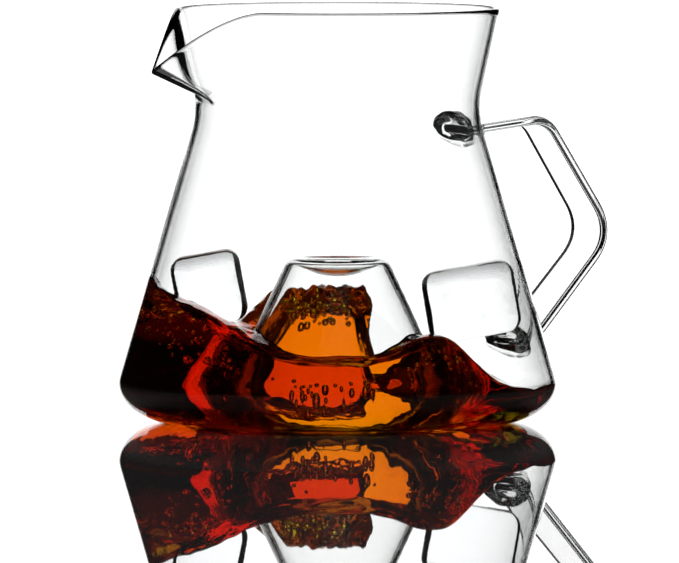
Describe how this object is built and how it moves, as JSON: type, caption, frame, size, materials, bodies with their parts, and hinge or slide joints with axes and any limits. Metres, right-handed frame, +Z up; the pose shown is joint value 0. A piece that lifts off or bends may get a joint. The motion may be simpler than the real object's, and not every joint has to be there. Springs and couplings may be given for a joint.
{
  "type": "glass carafe",
  "caption": "Clear blown-glass carafe with a flared neck, a pulled pouring spout, a bent strip handle and a hollow cone in its base, holding an amber drink with floating ice.",
  "frame": {"origin": "on the table under the middle of the whole piece, spout to handle", "axes": "+Z up, +X from the spout to the handle, so that the spout points to -X; the body's own axis stands 10.8 mm towards the spout"},
  "size_m": [0.1414, 0.1198, 0.1131],
  "materials": {
    "clear_glass": "clear, polished",
    "amber_drink": "clear liquid",
    "clear_ice": "wet, clear"
  },
  "bodies": {
    "carafe": {"carafe_body": "clear_glass", "handle": "clear_glass", "upper_handle_seal": "clear_glass", "lower_handle_seal": "clear_glass", "drink": "amber_drink"},
    "left_ice": {"left_ice_block": "clear_ice"},
    "right_ice": {"right_ice_block": "clear_ice"}
  },
  "joints": [
    {"name": "left_ice_bob", "type": "slide", "parent": "carafe", "child": "left_ice", "axis": [0, 0, 1], "range_m": [-0.0015, 0.002], "stiffness_N_per_m": 3.12, "springref_m": 0.0176, "deforming": ["drink"]},
    {"name": "right_ice_bob", "type": "slide", "parent": "carafe", "child": "right_ice", "axis": [0, 0, 1], "range_m": [-0.0015, 0.002], "stiffness_N_per_m": 4.17, "springref_m": 0.018, "deforming": ["drink"]}
  ]
}
